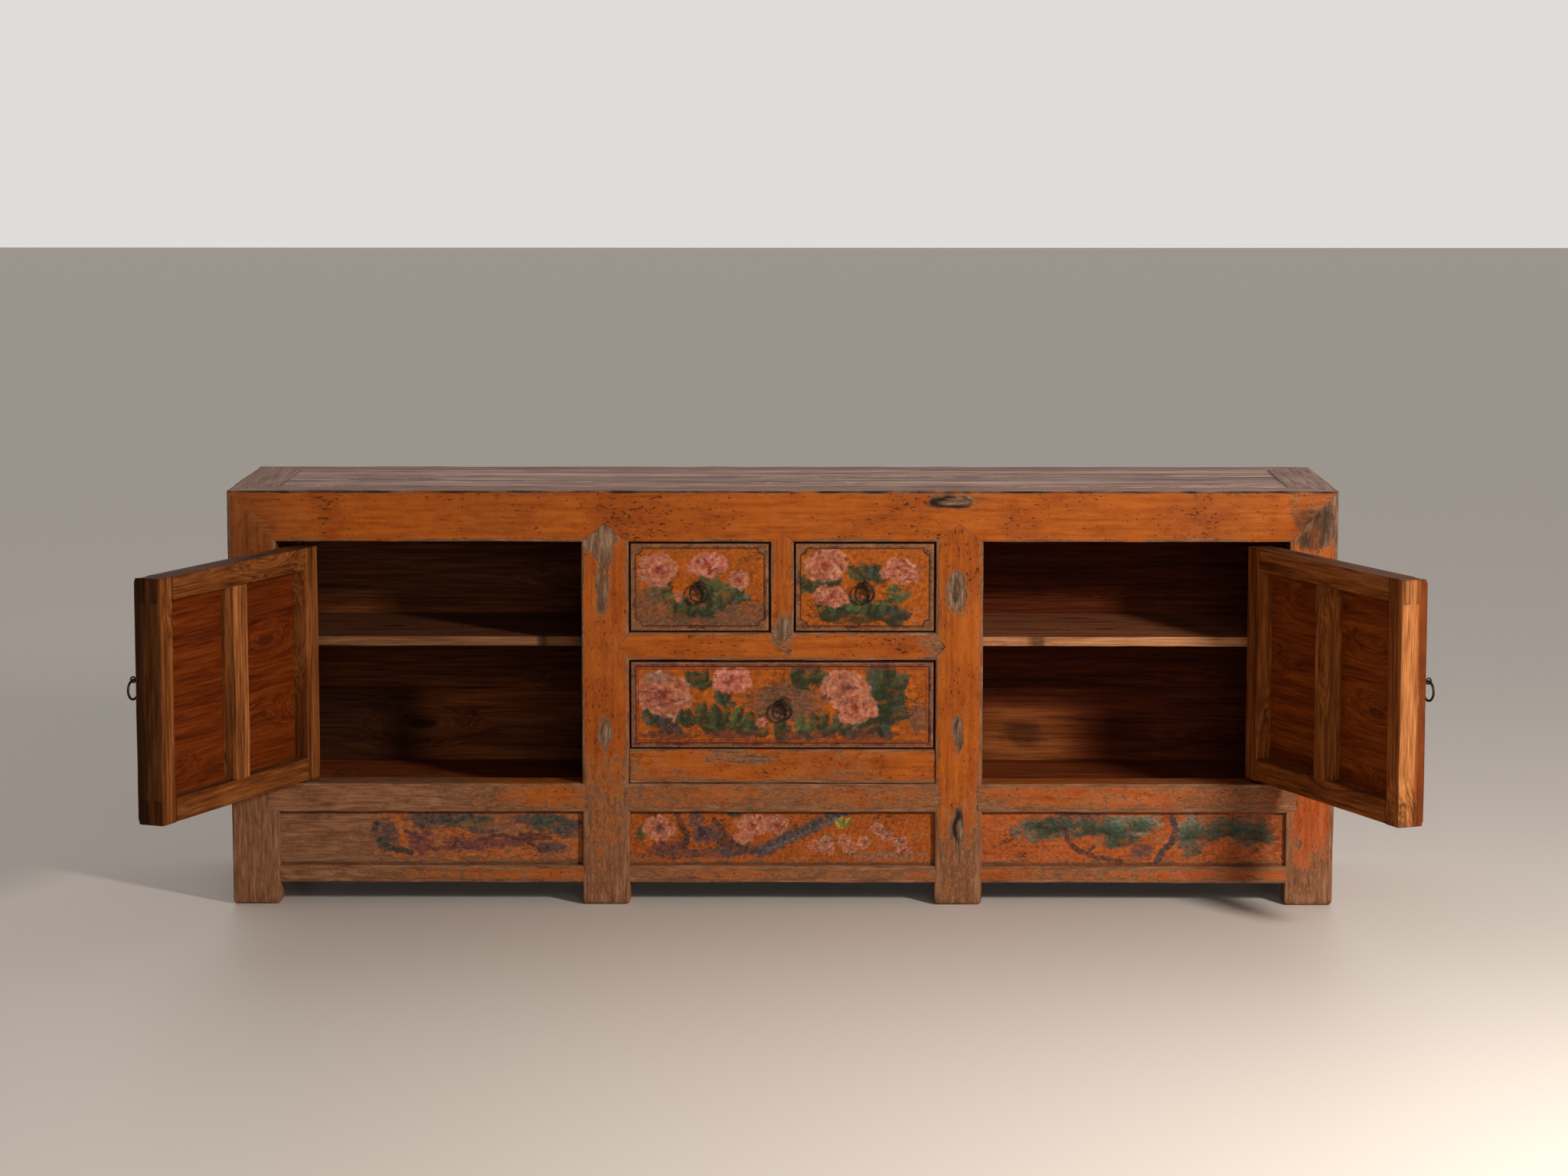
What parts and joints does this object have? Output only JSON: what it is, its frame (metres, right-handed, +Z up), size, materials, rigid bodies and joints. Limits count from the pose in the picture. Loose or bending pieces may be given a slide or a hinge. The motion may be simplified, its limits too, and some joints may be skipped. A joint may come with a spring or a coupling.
{
  "type": "buffet cabinet",
  "caption": "Painted low buffet cabinet with frame-and-panel doors on wooden pivots, drawers with ring pulls, inner shelves and a mitred plank top.",
  "frame": {"origin": "on the floor under the middle of the cabinet's box as stored, open doors included", "axes": "+X to the right of someone facing the front, +Y from the front to the back, +Z up"},
  "size_m": [2.3318, 0.97, 0.796],
  "materials": {
    "orange_lacquer": "worn satin lacquer",
    "painted_field": "worn painted lacquer",
    "weathered_top": "weathered, matt",
    "stained_inner_pine": "stained, satin",
    "door_pine": "stained, satin",
    "forged_iron": "forged, dark"
  },
  "bodies": {
    "cabinet": {"front_post_left": "orange_lacquer", "front_post_right": "orange_lacquer", "back_post_left": "orange_lacquer", "back_post_right": "orange_lacquer", "mid_post_left": "orange_lacquer", "mid_post_right": "orange_lacquer", "side_top_rail_left": "orange_lacquer", "side_top_rail_right": "orange_lacquer", "side_panel_left": "orange_lacquer", "side_panel_right": "orange_lacquer", "front_top_rail": "orange_lacquer", "back_top_rail": "orange_lacquer", "drawer_rail": "orange_lacquer", "drawer_divider": "orange_lacquer", "apron_board": "orange_lacquer", "top_board": "weathered_top", "sill_left": "orange_lacquer", "bottom_rail_left": "orange_lacquer", "skirt_panel_left": "painted_field", "sill_centre": "orange_lacquer", "bottom_rail_centre": "orange_lacquer", "skirt_panel_centre": "painted_field", "sill_right": "orange_lacquer", "bottom_rail_right": "orange_lacquer", "skirt_panel_right": "painted_field", "back_panel": "stained_inner_pine", "partition_left": "stained_inner_pine", "partition_right": "stained_inner_pine", "floor_board_left": "stained_inner_pine", "floor_board_right": "stained_inner_pine", "shelf_left": "stained_inner_pine", "shelf_right": "stained_inner_pine", "upper_drawer_board": "stained_inner_pine", "lower_drawer_board": "stained_inner_pine"},
    "left_door": {"left_door_hinge_stile": "door_pine", "left_door_free_stile": "door_pine", "left_door_top_rail": "door_pine", "left_door_bottom_rail": "door_pine", "left_door_panel": "door_pine", "left_door_staple": "forged_iron"},
    "right_door": {"right_door_hinge_stile": "door_pine", "right_door_free_stile": "door_pine", "right_door_top_rail": "door_pine", "right_door_bottom_rail": "door_pine", "right_door_panel": "door_pine", "right_door_staple": "forged_iron"},
    "upper_left_drawer": {"upper_left_drawer_front": "painted_field", "upper_left_drawer_box": "stained_inner_pine", "upper_left_drawer_staple": "forged_iron"},
    "upper_right_drawer": {"upper_right_drawer_front": "painted_field", "upper_right_drawer_box": "stained_inner_pine", "upper_right_drawer_staple": "forged_iron"},
    "lower_drawer": {"lower_drawer_front": "painted_field", "lower_drawer_box": "stained_inner_pine", "lower_drawer_staple": "forged_iron"},
    "left_door_pull_ring": {"left_door_ring": "forged_iron"},
    "right_door_pull_ring": {"right_door_ring": "forged_iron"},
    "upper_left_drawer_pull_ring": {"upper_left_drawer_ring": "forged_iron"},
    "upper_right_drawer_pull_ring": {"upper_right_drawer_ring": "forged_iron"},
    "lower_drawer_pull_ring": {"lower_drawer_ring": "forged_iron"}
  },
  "joints": [
    {"name": "left_door_hinge", "type": "hinge", "parent": "cabinet", "child": "left_door", "pos_m": [-0.9265, 0.02999, 0.464], "axis": [0, 0, 1], "range_deg": [0, 112.5]},
    {"name": "right_door_hinge", "type": "hinge", "parent": "cabinet", "child": "right_door", "pos_m": [0.9265, 0.02999, 0.464], "axis": [0, 0, -1], "range_deg": [0, 112.5]},
    {"name": "upper_left_drawer_slide", "type": "slide", "parent": "cabinet", "child": "upper_left_drawer", "axis": [0, -1, 0], "range_m": [0, 0.25]},
    {"name": "upper_right_drawer_slide", "type": "slide", "parent": "cabinet", "child": "upper_right_drawer", "axis": [0, -1, 0], "range_m": [0, 0.25]},
    {"name": "lower_drawer_slide", "type": "slide", "parent": "cabinet", "child": "lower_drawer", "axis": [0, -1, 0], "range_m": [0, 0.25]},
    {"name": "left_door_ring_swing", "type": "hinge", "parent": "left_door", "child": "left_door_pull_ring", "pos_m": [-1.15694, -0.44011, 0.4996], "axis": [0.3827, 0.9239, 0], "range_deg": [-15, 120]},
    {"name": "right_door_ring_swing", "type": "hinge", "parent": "right_door", "child": "right_door_pull_ring", "pos_m": [1.15694, -0.44011, 0.4996], "axis": [0.3827, -0.9239, 0], "range_deg": [-15, 120]},
    {"name": "upper_left_drawer_ring_swing", "type": "hinge", "parent": "upper_left_drawer", "child": "upper_left_drawer_pull_ring", "pos_m": [-0.15625, -0.00151, 0.6186], "axis": [-1, 0, 0], "range_deg": [-15, 120]},
    {"name": "upper_right_drawer_ring_swing", "type": "hinge", "parent": "upper_right_drawer", "child": "upper_right_drawer_pull_ring", "pos_m": [0.15625, -0.00151, 0.6186], "axis": [-1, 0, 0], "range_deg": [-15, 120]},
    {"name": "lower_drawer_ring_swing", "type": "hinge", "parent": "lower_drawer", "child": "lower_drawer_pull_ring", "pos_m": [0, -0.00151, 0.3936], "axis": [-1, 0, 0], "range_deg": [-15, 120]}
  ]
}
